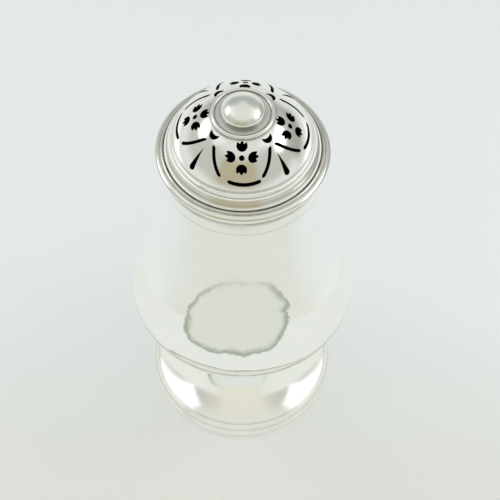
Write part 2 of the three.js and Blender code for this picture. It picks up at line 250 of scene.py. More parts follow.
def inner_face(outer, thickness=SHEET):
    """The line moved to its left by the sheet's thickness, and run backwards."""
    along = np.gradient(np.asarray(outer, float), axis=0)
    along /= np.hypot(along[:, 0], along[:, 1])[:, None]
    return (outer + thickness * np.column_stack([-along[:, 1], along[:, 0]]))[::-1]


def bell(values, width):
    """Each row averaged with its neighbours under a bell-shaped weight, width rows wide."""
    reach = int(np.ceil(3 * width))
    offsets = np.arange(-reach, reach + 1)
    weights = np.exp(-0.5 * (offsets / width) ** 2)
    weights /= weights.sum()
    return np.stack([np.convolve(v, weights, "valid") for v in values.T], axis=1)


def polished(outline, closed, ease=EASE, kept=()):
    """The outline as files and polish leave it, with the direction in which each point faces.

    The line is read off at even steps, and each place is averaged with its neighbours under a
    bell-shaped weight, which rounds the corners. Within JOINT_REACH of the places in kept, such
    as soldered joints, it stays sharp. Then points are kept wherever the line has turned by
    LARGEST_TURN or run on by LONGEST_STEP.
    """
    outline = np.vstack([outline, outline[:1]]) if closed else np.asarray(outline, float)
    run = np.r_[0, np.cumsum(np.hypot(*np.diff(outline, axis=0).T))]
    fresh = np.r_[True, np.diff(run) > 1e-9]
    outline, run = outline[fresh], run[fresh]
    at = np.linspace(0, run[-1], int(run[-1] / READ_STEP) + 1)
    sharp = np.column_stack([np.interp(at, run, outline[:, k]) for k in (0, 1)])
    width = ease / READ_STEP
    pad = int(np.ceil(3 * width))
    if closed:
        padded = np.vstack([sharp[-1 - pad:-1], sharp, sharp[1:pad + 1]])
    else:
        mirror = np.array([-1.0, 1.0])
        first = sharp[pad:0:-1] * mirror if sharp[0, 0] < 1e-6 else 2 * sharp[0] - sharp[pad:0:-1]
        last = sharp[-2:-2 - pad:-1]
        last = last * mirror if sharp[-1, 0] < 1e-6 else 2 * sharp[-1] - last
        padded = np.vstack([first, sharp, last])
    eased = bell(padded, width)
    for place in kept:
        near = np.hypot(*(sharp - np.array(place)).T)[:, None] / JOINT_REACH
        eased = sharp + (eased - sharp) * np.clip(near, 0, 1) ** 2
    along = np.gradient(eased, axis=0)
    if closed:
        along[0] = along[-1] = eased[1] - eased[-2]
    facing = np.column_stack([along[:, 1], -along[:, 0]])
    facing /= np.hypot(facing[:, 0], facing[:, 1])[:, None]
    step = np.hypot(*np.diff(eased, axis=0).T)
    turn = np.degrees(np.hypot(*np.diff(facing, axis=0).T))
    cost = np.r_[0, np.cumsum(step / LONGEST_STEP + turn / LARGEST_TURN)]
    wanted = np.linspace(0, cost[-1], int(np.ceil(cost[-1])) + 1)
    if closed:
        wanted = wanted[:-1]
    pick = np.column_stack([eased, facing])
    pick = np.column_stack([np.interp(wanted, cost, pick[:, k]) for k in range(4)])
    pick[:, 2:] /= np.hypot(pick[:, 2], pick[:, 3])[:, None]
    return pick[:, :2], pick[:, 2:]


# Meshes

def tarnish_and_shade_at(radius, height):
    """How dark a place is drawn, tarnish and painted shade together: the strongest of all crevices,
    each a bell round its own circle.
    """
    gap = np.hypot(radius[:, None] - CREVICES[:, 0], height[:, None] - CREVICES[:, 1])
    return (CREVICES[:, 3] * np.exp(-(gap / CREVICES[:, 2]) ** 2)).max(axis=1)


def point_values(mesh, layer, values):
    """Writes one number for each point into the mesh, for its material to read."""
    data = mesh.attributes.new(layer, "FLOAT", "POINT").data
    data.foreach_set("value", np.asarray(values, np.float32))


def placed(name, data):
    """Puts a mesh, lamp or camera into the scene, at the origin."""
    made = bpy.data.objects.new(name, data)
    bpy.context.scene.collection.objects.link(made)
    return made


def meshed(name, points, faces):
    """A mesh of points in metres and faces of point numbers."""
    mesh = bpy.data.meshes.new(name)
    mesh.from_pydata(np.asarray(points).tolist(), [], faces)
    return mesh


def new_piece(name, points, faces, facing, inside, material):
    """Writes points in millimetres, faces and the exact direction of each point into a mesh."""
    mesh = meshed(name, points * MM, faces)
    mesh.validate()
    mesh.shade_smooth()
    mesh.normals_split_custom_set_from_vertices(facing.tolist())
    # Each point's darkening in the crevices: tarnish and painted shade
    tarnish_and_shade = tarnish_and_shade_at(np.hypot(points[:, 0], points[:, 1]), points[:, 2])
    point_values(mesh, "inside", np.clip(inside, 0, 1))
    point_values(mesh, "tarnish_and_shade", np.clip(tarnish_and_shade, 0, 1))
    mesh.materials.append(material)
    return placed(name, mesh)


def carried_round(line):
    """Each (r, z) of a line carried round the axis: (r cos a, r sin a, z) at even angles a."""
    angle = np.arange(ROUND_STEPS) * 2 * np.pi / ROUND_STEPS
    flat = line[:, None, :1] * np.column_stack([np.cos(angle), np.sin(angle)])
    level = np.repeat(line[:, None, 1:], ROUND_STEPS, 1)
    return np.concatenate([flat, level], axis=2).reshape(-1, 3)


def ring_faces(lower, upper):
    """Quads between two rings of point numbers, facing right of the way from lower to upper."""
    return np.column_stack([lower, np.roll(lower, -1), np.roll(upper, -1), upper]).tolist()


def strip_faces(rings):
    """Quads between each ring of point numbers and the next."""
    return [face for pair in zip(rings[:-1], rings[1:]) for face in ring_faces(*pair)]


def fan_faces(tip, ring):
    """Triangles from one point to a ring, facing the side where the ring runs anticlockwise."""
    return [[tip, int(a), int(b)] for a, b in zip(ring, np.roll(ring, -1))]


def turned(name, outline, closed, material, inside=None, ease=EASE, kept=()):
    """A solid turned round the Z axis from an outline that runs up its outside.

    A closed outline makes a ring. An open one starts and ends on the axis, where a fan of
    triangles round one point closes it. inside says which places the mop never reached, and these
    are drawn dark: tarnish with painted shade.
    """
    line, facing = polished(outline, closed, ease, kept)
    rows = slice(None) if closed else slice(1, -1)
    points, look = carried_round(line[rows]), carried_round(facing[rows])
    numbers = np.arange(len(points)).reshape(-1, ROUND_STEPS)
    faces = strip_faces(numbers)
    if closed:
        faces += ring_faces(numbers[-1], numbers[0])
    else:
        faces += fan_faces(len(points), numbers[0][::-1]) + fan_faces(len(points) + 1, numbers[-1])
        points = np.vstack([points, [(0, 0, line[0, 1]), (0, 0, line[-1, 1])]])
        look = np.vstack([look, [(0, 0, facing[0, 1]), (0, 0, facing[-1, 1])]])
    hidden = np.zeros(len(points))
    if inside:
        hidden = inside(np.hypot(points[:, 0], points[:, 1]), points[:, 2])
    return new_piece(name, points, faces, look, hidden, material)


# Piercing

def eye_outline():
    """A round hole, drilled: a circle."""
    return arc((0, 0), EYE_RADIUS, 0, 360, 25)[:-1]


def softened(start, end, bow):
    """The points after start on a shallow curve: a straight line and bow times a half sine."""
    return reed(start, end, bow, 7)[1:]


def petal_outline(quarter):
    """A round heel towards the eye and three points away from it, turned by quarter turns."""
    corners = np.vstack([[(1, 0)], PETAL_POINTS, [(-1, 0)]]) * PETAL_RADIUS
    cheeks = [softened(*cheek) for cheek in zip(corners[:-1], corners[1:], PETAL_BOWS)]
    line = np.vstack([arc((0, 0), PETAL_RADIUS, 180, 360, 25)] + cheeks)[:-1] + (0, PETAL_REACH)
    turn = np.radians(90 * quarter)
    return line @ np.array([(np.cos(turn), np.sin(turn)), (-np.sin(turn), np.cos(turn))])


def slot_outline(start, bend, end):
    """A sawn slot of even width along a quadratic curve, with bluntly pointed ends."""
    t = np.linspace(0, 1, 17)[:, None]
    a, b, c = (np.array(p, float) for p in (start, bend, end))
    middle = (1 - t) ** 2 * a + 2 * (1 - t) * t * b + t ** 2 * c
    along = 2 * (1 - t) * (b - a) + 2 * t * (c - b)
    along /= np.hypot(along[:, 0], along[:, 1])[:, None]
    side = np.column_stack([-along[:, 1], along[:, 0]]) * SLOT_WIDTH / 2
    tail = middle[:1] - along[:1] * SLOT_WIDTH / 2
    nose = middle[-1:] + along[-1:] * SLOT_WIDTH / 2
    return np.vstack([tail, middle - side, nose, (middle + side)[::-1]])


def crescent_outline():
    """A disc with its side towards the knob bitten out by a larger circle through its horns."""
    half = np.sqrt(CRESCENT_RADIUS ** 2 - CRESCENT_HORN ** 2)
    bottom = CRESCENT_DEPTH - CRESCENT_RADIUS
    sag = CRESCENT_HORN - bottom
    bite = (half ** 2 + sag ** 2) / (2 * sag)
    tip, cut = np.degrees(np.arcsin([CRESCENT_HORN / CRESCENT_RADIUS, half / bite]))
    return np.vstack([
        arc((0, 0), CRESCENT_RADIUS, 180 - tip, 360 + tip, 31),
        arc((0, bottom + bite), bite, cut - 90, -90 - cut, 15)[1:-1],
    ])


def drop_outline():
    """A long drop: a round end at the origin, and tangents from it to a point towards the knob."""
    reach = DROP_LENGTH - DROP_RADIUS
    opening = np.degrees(np.arccos(DROP_RADIUS / reach))
    end = arc((0, 0), DROP_RADIUS, 90 + opening, 450 - opening, 21)
    sides = np.linspace(0, 1, 12)[1:-1, None]
    point = np.array([(0, reach)])
    return np.vstack([point, point + sides * (end[0] - point), end,
                      end[-1] + sides * (point - end[-1])])


def hole_outlines():
    """Every hole: its outline, the angle down from the top, and the angle round the axis."""
    holes = []
    other_side = [(-x, y) for x, y in SIDE_SLOT]
    for panel in range(PANELS):
        middle = 360 / PANELS * panel
        between = middle + 180 / PANELS
        flower = middle + FLOWER_TURNS[panel]
        side = middle + SIDE_SLOT_TURNS[panel]
        bottom = middle + BOTTOM_SLOT_TURNS[panel]
        holes.append((eye_outline(), PANEL_ANGLE, flower))
        holes += [(petal_outline(quarter), PANEL_ANGLE, flower) for quarter in range(4)]
        holes += [(slot_outline(*line), PANEL_ANGLE, side) for line in (other_side, SIDE_SLOT)]
        holes.append((slot_outline(*BOTTOM_SLOT), BOTTOM_SLOT_ANGLE, bottom))
        holes.append((crescent_outline(), CRESCENT_ANGLE, between + CRESCENT_TURN))
        holes.append((drop_outline(), DROP_ANGLE, between + DROP_TURN))
    return holes


def wrapped(line, down_angle, round_angle):
    """A flat shape laid on the dome: x runs round it and y up it, both along its surface."""
    down = np.radians(down_angle) - line[:, 1] / DOME_RADIUS
    return down, np.radians(round_angle) + line[:, 0] / (DOME_RADIUS * np.sin(down))


def flat_map(down, turn):
    """The sphere laid flat so that circles stay circles: twice the tangent of half the angle."""
    reach = 2 * np.tan(down / 2)
    return np.column_stack([reach * np.cos(turn), reach * np.sin(turn)])


def on_ball(down, turn):
    """The direction from the dome's centre to a place on it."""
    return np.column_stack([np.sin(down) * np.cos(turn), np.sin(down) * np.sin(turn), np.cos(down)])


def within(points, loop):
    """Which points lie in a loop: a level line from them crosses it an odd number of times."""
    (x0, y0), (x1, y1) = loop.T, np.roll(loop, -1, axis=0).T
    px, py = points[:, :1], points[:, 1:]
    spans = (y0 > py) != (y1 > py)
    with np.errstate(divide="ignore", invalid="ignore"):
        crossing = x0 + (py - y0) * (x1 - x0) / (y1 - y0)
    return (spans & (px < crossing)).sum(axis=1) % 2 == 1


def band_net(holes, crown_down, foot_down):
    """The pierced band's points, as angles down and round, its loops and its triangles.

    The loops are its lower ring, its upper ring and every hole's outline. All their edges are
    edges of the net. Between them stand rows of points DOME_STEP apart, and none of these is
    nearer to a hole than NET_MARGIN on the flat map.
    """
    flat_holes = [flat_map(down, turn) for _, down, turn in holes]
    row_count = int((foot_down - crown_down) * DOME_RADIUS / DOME_STEP) + 1
    rows = np.linspace(crown_down, foot_down, row_count)
    grid_down, grid_turn = [], []
    for number, row in enumerate(rows[1:-1]):
        steps = int(2 * np.pi * DOME_RADIUS * np.sin(row) / DOME_STEP)
        grid_down.append(np.full(steps, row))
        grid_turn.append((np.arange(steps) + 0.5 * (number % 2)) * 2 * np.pi / steps)
    grid_down, grid_turn = np.concatenate(grid_down), np.concatenate(grid_turn)
    grid = flat_map(grid_down, grid_turn)
    clear = np.ones(len(grid), bool)
    for loop in flat_holes:
        gap = np.hypot(grid[:, :1] - loop[:, 0], grid[:, 1:] - loop[:, 1]).min(axis=1)
        clear &= ~within(grid, loop) & (gap > NET_MARGIN)

    full = np.ones(ROUND_STEPS)
    even = np.arange(ROUND_STEPS) * 2 * np.pi / ROUND_STEPS
    down = np.concatenate([
        foot_down * full, crown_down * full, *[h[1] for h in holes], grid_down[clear]])
    turn = np.concatenate([even, even, *[h[2] for h in holes], grid_turn[clear]])
    loops, start = [], 0
    for length in [ROUND_STEPS, ROUND_STEPS] + [len(h[0]) for h in holes]:
        loops.append(np.arange(start, start + length))
        start += length
    flat = flat_map(down, turn)
    edges = np.vstack([np.column_stack([loop, np.roll(loop, -1)]) for loop in loops])
    found = delaunay_2d_cdt([Vector(p) for p in flat.tolist()], edges.tolist(), [], 0, 1e-7)
    if len(found[0]) != len(flat):
        raise RuntimeError("the piercing's net has merged or added points")
    net = np.array(found[2])
    centres = flat[net].mean(axis=1)
    keep = np.hypot(centres[:, 0], centres[:, 1]) > np.hypot(*flat[ROUND_STEPS]) * 0.99999
    for loop in flat_holes:
        keep &= ~within(centres, loop)
    net = net[keep]
    corner = flat[net]
    area = np.cross(corner[:, 1] - corner[:, 0], corner[:, 2] - corner[:, 0])
    net[area < 0] = net[area < 0][:, ::-1]
    return down, turn, loops, net


def pierced_dome(name, material):
    """The dome with its border: turned rings below and at the crown, and a pierced band between.

    The band is a net of triangles whose edges include every hole's outline. The same net serves
    the outside and the inside, on two spheres, and walls along the rays close the holes. The
    saw's edge is rounded off by a quarter circle of SAWN_EDGE.
    """
    foot_down = np.radians(DOME_FOOT_ANGLE) - BAND_FOOT / DOME_RADIUS
    crown_down = np.radians(BOSS_ANGLE)
    holes = [(line, *wrapped(line, down, middle)) for line, down, middle in hole_outlines()]
    down, turn, loops, net = band_net(holes, crown_down, foot_down)
    ray = on_ball(down, turn)
    centre = np.array([0, 0, DOME_CENTRE])
    points = [centre + DOME_RADIUS * ray, centre + DOME_BORE * ray]
    look = [ray, -ray]
    hidden = [np.zeros(len(ray)), np.ones(len(ray))]
    faces = net.tolist() + (net[:, ::-1] + len(ray)).tolist()
    total = 2 * len(ray)

    # The holes' walls: an edge rounded in four steps, then straight down to the inside
    angles = np.radians((22.5, 45.0, 67.5, 90.0, 90.0))
    depths = np.append(SAWN_EDGE * (1 - np.cos(angles[:-1])), SAWN_WALL)
    for (line, hole_down, hole_turn), loop in zip(holes, loops[2:]):
        before, after = np.roll(line, 1, axis=0), np.roll(line, -1, axis=0)
        one = (line - before) / np.hypot(*(line - before).T)[:, None]
        two = (after - line) / np.hypot(*(after - line).T)[:, None]
        along = one + two
        along /= np.hypot(*along.T)[:, None]
        (x, y), (run_x, run_y) = line.T, (after - before).T
        spin = np.sign(np.sum(x * run_y - y * run_x))
        inward = np.column_stack([-along[:, 1], along[:, 0]]) * spin
        east = np.column_stack([-np.sin(hole_turn), np.cos(hole_turn), np.zeros(len(line))])
        base = on_ball(hole_down, hole_turn)
        side = inward[:, :1] * east + inward[:, 1:] * np.cross(base, east)
        rings = [loop]
        for angle, depth in zip(angles, depths):
            points.append(centre + (DOME_RADIUS - depth) * base + SAWN_EDGE * np.sin(angle) * side)
            look.append(np.cos(angle) * base + np.sin(angle) * side)
            hidden.append(np.full(len(line), angle / angles[-1]))
            rings.append(np.arange(total, total + len(line)))
            total += len(line)
        rings.append(loop + len(ray))
        faces += strip_faces(rings[::-1] if spin < 0 else rings)

    # Border, from the inside of the band round to its outside
    border_down = np.arccos((BORDER_FOOT - DOME_CENTRE) / DOME_BORE)
    inside_arc = arc(
        (0, DOME_CENTRE), DOME_BORE, 90 - np.degrees(foot_down), 90 - np.degrees(border_down), 24)
    foot_radius = DOME_RADIUS * np.sin(np.radians(DOME_FOOT_ANGLE))
    foot_height = DOME_CENTRE + DOME_RADIUS * np.cos(np.radians(DOME_FOOT_ANGLE))
    low_step, high_step = BORDER_STEPS
    line, facing = polished(np.vstack([
        inside_arc,
        [(BORDER_RADIUS - SEAT_WIDTH, SEAT_HEIGHT), (BORDER_RADIUS, SEAT_HEIGHT)],
        reed((BORDER_RADIUS, BORDER_FOOT), low_step, BORDER_BULGE),
        reed(low_step, high_step, -BORDER_BULGE),
        reed(high_step, (foot_radius, foot_height), BORDER_BULGE),
        arc((0, DOME_CENTRE), DOME_RADIUS, 90 - DOME_FOOT_ANGLE, 90 - np.degrees(foot_down), 8)[1:],
    ]), False)
    ring, ring_facing = carried_round(line[1:-1]), carried_round(facing[1:-1])
    numbers = np.arange(total, total + len(ring)).reshape(-1, ROUND_STEPS)
    faces += strip_faces(np.vstack([[loops[0] + len(ray)], numbers, [loops[0]]]))
    points.append(ring)
    look.append(ring_facing)
    outward = (ring_facing[:, :2] * ring[:, :2]).sum(axis=1)
    hidden.append(((outward < 0) | (ring[:, 2] < SEAT_HEIGHT + SEAT_INSIDE)).astype(float))
    total += len(ring)

    # Crown: a fan on the outside and one on the inside
    inner_crown = DOME_CENTRE + DOME_BORE * np.cos(crown_down)
    points.append(np.array([(0, 0, CROWN_HEIGHT), (0, 0, inner_crown)]))
    look.append(np.array([(0, 0, 1.0), (0, 0, -1.0)]))
    hidden.append(np.array([0.0, 1.0]))
    faces += fan_faces(total, loops[1]) + fan_faces(total + 1, loops[1][::-1] + len(ray))
    return new_piece(
        name, np.vstack(points), faces, np.vstack(look), np.concatenate(hidden), material)


# Finishes

def linear(code):
    """An sRGB hex colour as linear light."""
    part = np.array([int(code[i:i + 2], 16) for i in (1, 3, 5)]) / 255
    return (*np.where(part <= 0.04045, part / 12.92, ((part + 0.055) / 1.055) ** 2.4).tolist(), 1.0)


def add(tree, kind, inputs=(), **settings):
    """Adds a node: settings are its options, inputs its sockets' values or what links to them."""
    made = tree.nodes.new(kind)
    for name, value in settings.items():
        setattr(made, name, value)
    for name, value in dict(inputs).items():
        if isinstance(value, bpy.types.NodeSocket):
            tree.links.new(value, made.inputs[name])
        else:
            made.inputs[name].default_value = value
    return made


def blank(data):
    """Empties the node tree of a material, a lamp or the world, and gives the tree."""
    data.use_nodes = True
    data.node_tree.nodes.clear()
    return data.node_tree


def silver(name, bright, dull, gloss, wave_length, wave_height, ring_height):
    """Sterling silver, bright where the mop reached and dull in the crevices and inside, darkened
    there by tarnish and painted shade together.

    wave_length and wave_height, in millimetres, are the soft hollows that the hammer left under
    the polish, and ring_height the depth of the hair lines that run round with the lathe.
    """
    material = bpy.data.materials.new(name)
    tree = blank(material)
    place = add(tree, "ShaderNodeTexCoord").outputs["Object"]
    inside = add(tree, "ShaderNodeAttribute", attribute_name="inside").outputs["Fac"]
    # Tarnish and painted shade in the crevices, one number for each point
    crevice_tarnish_and_shade = add(tree, "ShaderNodeAttribute", attribute_name="tarnish_and_shade").outputs["Fac"]

    # Clouds of thin tarnish, some 3 mm across, break the edge of the crevices' tarnish and painted
    # shade
    cloud = add(tree, "ShaderNodeTexNoise", {
        "Vector": place, "Scale": 330.0, "Detail": 3.0, "Roughness": 0.6}).outputs["Fac"]
    patchy = add(tree, "ShaderNodeMapRange", {
        "Value": cloud, "From Min": 0.3, "From Max": 0.7, "To Min": 0.65, "To Max": 1.0})
    dark = add(tree, "ShaderNodeMath", {
        0: crevice_tarnish_and_shade, 1: patchy.outputs["Result"]}, operation="MULTIPLY")
    bloom = add(tree, "ShaderNodeMapRange", {
        "Value": cloud, "From Min": 0.45, "From Max": 0.8, "To Min": 0.0, "To Max": 0.03})
    dark = add(tree, "ShaderNodeMath", {
        0: dark.outputs[0], 1: bloom.outputs["Result"]}, operation="ADD")
    tone = add(tree, "ShaderNodeMix", {
        "Factor": dark.outputs[0], "A": linear(bright), "B": linear(dull)}, data_type="RGBA")
    # The inside and the holes' walls go dark brown: tarnish where the mop never reached, with
    # painted shade of the closed pot
    tone = add(tree, "ShaderNodeMix", {
        "Factor": inside, "A": tone.outputs["Result"], "B": linear("#4a4238")}, data_type="RGBA")

    # Hair lines: noise on radius and height alone, about 0.15 mm apart, runs round the axis
    across = add(tree, "ShaderNodeVectorMath", {0: place, 1: (1.0, 1.0, 0.0)}, operation="MULTIPLY")
    across = add(tree, "ShaderNodeVectorMath", {0: across.outputs[0]}, operation="LENGTH")
    split = add(tree, "ShaderNodeSeparateXYZ", {"Vector": place})
    line = add(tree, "ShaderNodeCombineXYZ", {
        "X": across.outputs["Value"], "Y": split.outputs["Z"]})
    hair = add(tree, "ShaderNodeTexNoise", {
        "Vector": line.outputs[0], "Scale": 6500.0, "Detail": 2.0}, noise_dimensions="2D")
    waves = add(tree, "ShaderNodeTexNoise", {
        "Vector": place, "Scale": 1000.0 / wave_length, "Detail": 1.5, "Roughness": 0.45})

    sheen = add(tree, "ShaderNodeMapRange", {
        "Value": hair.outputs["Fac"], "To Min": gloss * 0.8, "To Max": gloss * 1.3})
    matt = add(tree, "ShaderNodeMath", {0: crevice_tarnish_and_shade, 1: inside}, operation="MAXIMUM")
    rough = add(tree, "ShaderNodeMix", {
        "Factor": matt.outputs[0], "A": sheen.outputs["Result"], "B": 0.45}, data_type="FLOAT")
    relief = add(tree, "ShaderNodeBump", {
        "Strength": 1.0, "Distance": wave_height * MM, "Height": waves.outputs["Fac"]})
    relief = add(tree, "ShaderNodeBump", {
        "Strength": 1.0, "Distance": ring_height * MM, "Height": hair.outputs["Fac"],
        "Normal": relief.outputs["Normal"]})
    shader = add(tree, "ShaderNodeBsdfPrincipled", {
        "Metallic": 1.0, "Base Color": tone.outputs["Result"], "Roughness": rough.outputs["Result"],
        "Normal": relief.outputs["Normal"]})
    add(tree, "ShaderNodeOutputMaterial", {"Surface": shader.outputs["BSDF"]})
    return material


# Hammered up from sheet, planished and mopped: a near mirror over broad, very shallow hollows
raised = silver("hand_raised_sterling", "#fefefb", "#6e6a58", 0.06, 5.0, 0.006, 0.00006)
# Raised and then sawn, which leaves the dome a little less true: it breaks the lamps' edges
pierced = silver("raised_and_pierced_sterling", "#fcfcf8", "#6e6a58", 0.11, 2.4, 0.022, 0.00006)
# Spun over a chuck: hair lines round the foot draw its lights out a little
spun = silver("spun_and_polished_sterling", "#fefefa", "#6e6a58", 0.12, 7.0, 0.004, 0.00008)
# Drawn through a swage: crisp mouldings, warmer and duller where they are never rubbed, with
# tarnish and painted shade in their hollows
drawn = silver("drawn_moulded_sterling_wire", "#fbfaf4", "#5f5a49", 0.11, 3.0, 0.004, 0.00010)
# Cast and burnished: the softest lights, and dark round the button's neck with tarnish and painted
# shade
cast = silver("cast_and_burnished_sterling", "#fcfcf8", "#5b5646", 0.20, 2.5, 0.004, 0.00004)


# The pot and its cover

FLARE = sweep((TOE_RADIUS, RIM_TOP), *FLARE_HANDLES, (STEM_RADIUS, STEM_TOP), 80)
BASE = sweep((BASE_FOOT_RADIUS, STEM_TOP), *BASE_HANDLES, (BELLY_RADIUS, BELLY_HEIGHT), 120)
WALL = sweep((BELLY_RADIUS, BELLY_HEIGHT), *WALL_HANDLES, (NECK_RADIUS, NECK_FOOT), 240)
WALL = np.vstack([WALL, [(NECK_RADIUS, MOUTH_HEIGHT)]])
OUTER = np.vstack([FLARE, BASE, WALL])


def pot_inside(radius, height):
    """1 inside the pot, 0 outside: the inner face lies well within the outer one."""
    return (radius < np.interp(height, OUTER[:, 1], OUTER[:, 0]) - POT_INSIDE).astype(float)


def sleeve_inside(radius, height):
    """1 in the sleeve's bore, 0 outside."""
    return (radius < SLEEVE_RADIUS - SLEEVE_INSIDE).astype(float)


def shell(outer, every, inner_end, ends_first):
    """An outer line and the sheet's inner line, with the end at inner_end set square."""
    coarse = np.vstack([outer[:-1:every], outer[-1:]])
    inner = inner_face(coarse)
    inner[0 if ends_first else -1] = inner_end
    return np.vstack([outer, inner])


flare_line = shell(FLARE, 8, (STEM_RADIUS - SHEET, STEM_TOP), True)
above_wire = (np.arange(len(flare_line)) < len(FLARE)) | (flare_line[:, 1] > RIM_TOP + 0.1)
flare_line = np.vstack([flare_line[above_wire], [(TOE_RADIUS - TOE_LAND, RIM_TOP)]])
base_line = shell(BASE, 6, (BELLY_RADIUS - SHEET, BELLY_HEIGHT), True)
base_line = np.vstack([[(0, STEM_TOP)], base_line, [(0, base_line[-1, 1])]])
wall_line = shell(WALL, 6, (BELLY_RADIUS - SHEET, BELLY_HEIGHT), False)
belly_joint = ((BELLY_RADIUS, BELLY_HEIGHT), (BELLY_RADIUS - SHEET, BELLY_HEIGHT))

foot_wire = turned("foot_moulded_wire", np.vstack([
    [(STANDING_INNER, 0), (STANDING_OUTER, 0)],
    arc((FOOT_RADIUS - BEAD_RADIUS, BEAD_RADIUS), BEAD_RADIUS, -60, 55, 40),
    arc((FOOT_RADIUS - OVOLO_INSET - OVOLO_RADIUS, OVOLO_HEIGHT), OVOLO_RADIUS, 0, 60, 32),
    [(TOE_RADIUS + SOLDER_GAP, RIM_TOP), (TOE_RADIUS - TOE_LAND, RIM_TOP),
     (STANDING_INNER, OVOLO_HEIGHT)],
]), True, drawn, kept=((TOE_RADIUS + SOLDER_GAP, RIM_TOP),))
foot_sheet = turned("foot_spun_sheet", flare_line, True, spun, pot_inside,
                    kept=((STEM_RADIUS, STEM_TOP), (TOE_RADIUS, RIM_TOP)))
underside = turned("pot_underside_bowl", base_line, False, raised, pot_inside, 0.03, belly_joint)
wall = turned("pot_raised_wall", wall_line, True, raised, pot_inside, 0.04, belly_joint)

skirt = turned("cover_sleeve", np.array([
    (SLEEVE_BORE, SKIRT_BOTTOM), (SLEEVE_RADIUS, SKIRT_BOTTOM),
    (SLEEVE_RADIUS, CORNICE_BOTTOM), (SLEEVE_BORE, CORNICE_BOTTOM),
]), True, raised, sleeve_inside, 0.08)
cornice = turned("cover_reeded_wire", np.vstack([
    [(SLEEVE_BORE, CORNICE_BOTTOM), (SLEEVE_RADIUS + SOLDER_GAP, CORNICE_BOTTOM), CORNICE_EDGE[0]],
    reed(CORNICE_EDGE[1], REED_VALLEY, REED_BULGE),
    reed(REED_VALLEY, (REED_END_RADIUS, BORDER_FOOT), REED_BULGE),
    [(REED_END_RADIUS, SEAT_HEIGHT), (SLEEVE_BORE, SEAT_HEIGHT)],
]), True, drawn, ease=0.04)
dome = pierced_dome("cover_pierced_dome", pierced)
groove_height = CROWN_HEIGHT + BOSS_BEAD - BOSS_GROOVE
boss = turned("knob_beaded_boss", np.vstack([
    [(0, CROWN_HEIGHT)],
    arc((BOSS_RADIUS - BOSS_BEAD, CROWN_HEIGHT + BOSS_BEAD / 2), BOSS_BEAD, -30, 150, 30),
    sweep((BOSS_RADIUS - 2 * BOSS_BEAD, groove_height), (BOSS_HANDLE_RADIUS, groove_height),
          (KNOB_NECK_RADIUS, CROWN_HEIGHT + BOSS_HANDLE_HEIGHT), (KNOB_NECK_RADIUS, BOSS_TOP), 30),
    [(0, BOSS_TOP)],
]), False, cast, ease=0.04)
button = turned("knob_cast_button", np.vstack([
    [(0, 0), (KNOB_NECK_RADIUS, 0), (BUTTON_RADIUS, BUTTON_UNDERCUT)],
    sweep((BUTTON_RADIUS - BUTTON_CHAMFER, BUTTON_UNDERCUT + BUTTON_EDGE), BUTTON_SHOULDER,
          (BUTTON_TOP_HANDLE, BUTTON_HEIGHT), (0, BUTTON_HEIGHT), 60),
]) + (0, BOSS_TOP), False, cast)

for piece, node, body, slot in (
    (foot_wire, "foot_rim_wire", "pot", "moulded_silver"),
    (foot_sheet, "foot_flare", "pot", "polished_silver"),
    (underside, "pot_base", "pot", "polished_silver"),
    (wall, "pot_wall", "pot", "polished_silver"),
    (skirt, "cover_skirt", "cover", "polished_silver"),
    (cornice, "cover_cornice", "cover", "moulded_silver"),
    (dome, "cover_dome", "cover", "polished_silver"),
    (boss, "knob_boss", "cover", "cast_silver"),
    (button, "knob_button", "cover", "cast_silver"),
):
    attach(piece, body)
    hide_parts(node)


# Studio

def studio_floor():
    """Matt pale board, drawn a little warmer and darker in front of the object than behind it:
    painted shade.

    Its glow, which the camera and the silver see, lifts its tone without more light on the object.
    """
    material = bpy.data.materials.new("matt_pale_board")
    tree = blank(material)
    place = add(tree, "ShaderNodeTexCoord").outputs["Object"]
    split = add(tree, "ShaderNodeSeparateXYZ", {"Vector": place})
    # Painted shade: the board's tone is darker and warmer in front of the object, lighter behind it
    near = add(tree, "ShaderNodeMapRange", {
        "Value": split.outputs["Y"], "From Min": -0.040, "From Max": 0.020},
        interpolation_type="SMOOTHSTEP")
    board_tone_with_painted_shade = add(tree, "ShaderNodeMix", {
        "Factor": near.outputs["Result"], "A": linear("#e3e4e1"), "B": linear("#e8ecef")},
        data_type="RGBA").outputs["Result"]
    seen = add(tree, "ShaderNodeLightPath").outputs
    glow = add(tree, "ShaderNodeMath", {
        0: seen["Is Camera Ray"], 1: seen["Is Glossy Ray"]}, operation="ADD")
    glow = add(tree, "ShaderNodeMath", {
        0: glow.outputs[0], 1: seen["Is Transmission Ray"]}, operation="ADD")
    glow = add(tree, "ShaderNodeMath", {0: glow.outputs[0], 1: BOARD_GLOW}, operation="MULTIPLY")
    shader = add(tree, "ShaderNodeBsdfPrincipled", {
        "Base Color": board_tone_with_painted_shade, "Roughness": 0.9,
        "Emission Color": board_tone_with_painted_shade, "Emission Strength": glow.outputs[0]})
    add(tree, "ShaderNodeOutputMaterial", {"Surface": shader.outputs["BSDF"]})
    corners = np.array([(-1, -1, 0), (1, -1, 0), (1, 1, 0), (-1, 1, 0)]) * BOARD_HALF
    mesh = meshed("studio_floor", corners, [(0, 1, 2, 3)])
    mesh.materials.append(material)
    placed("studio_floor", mesh)


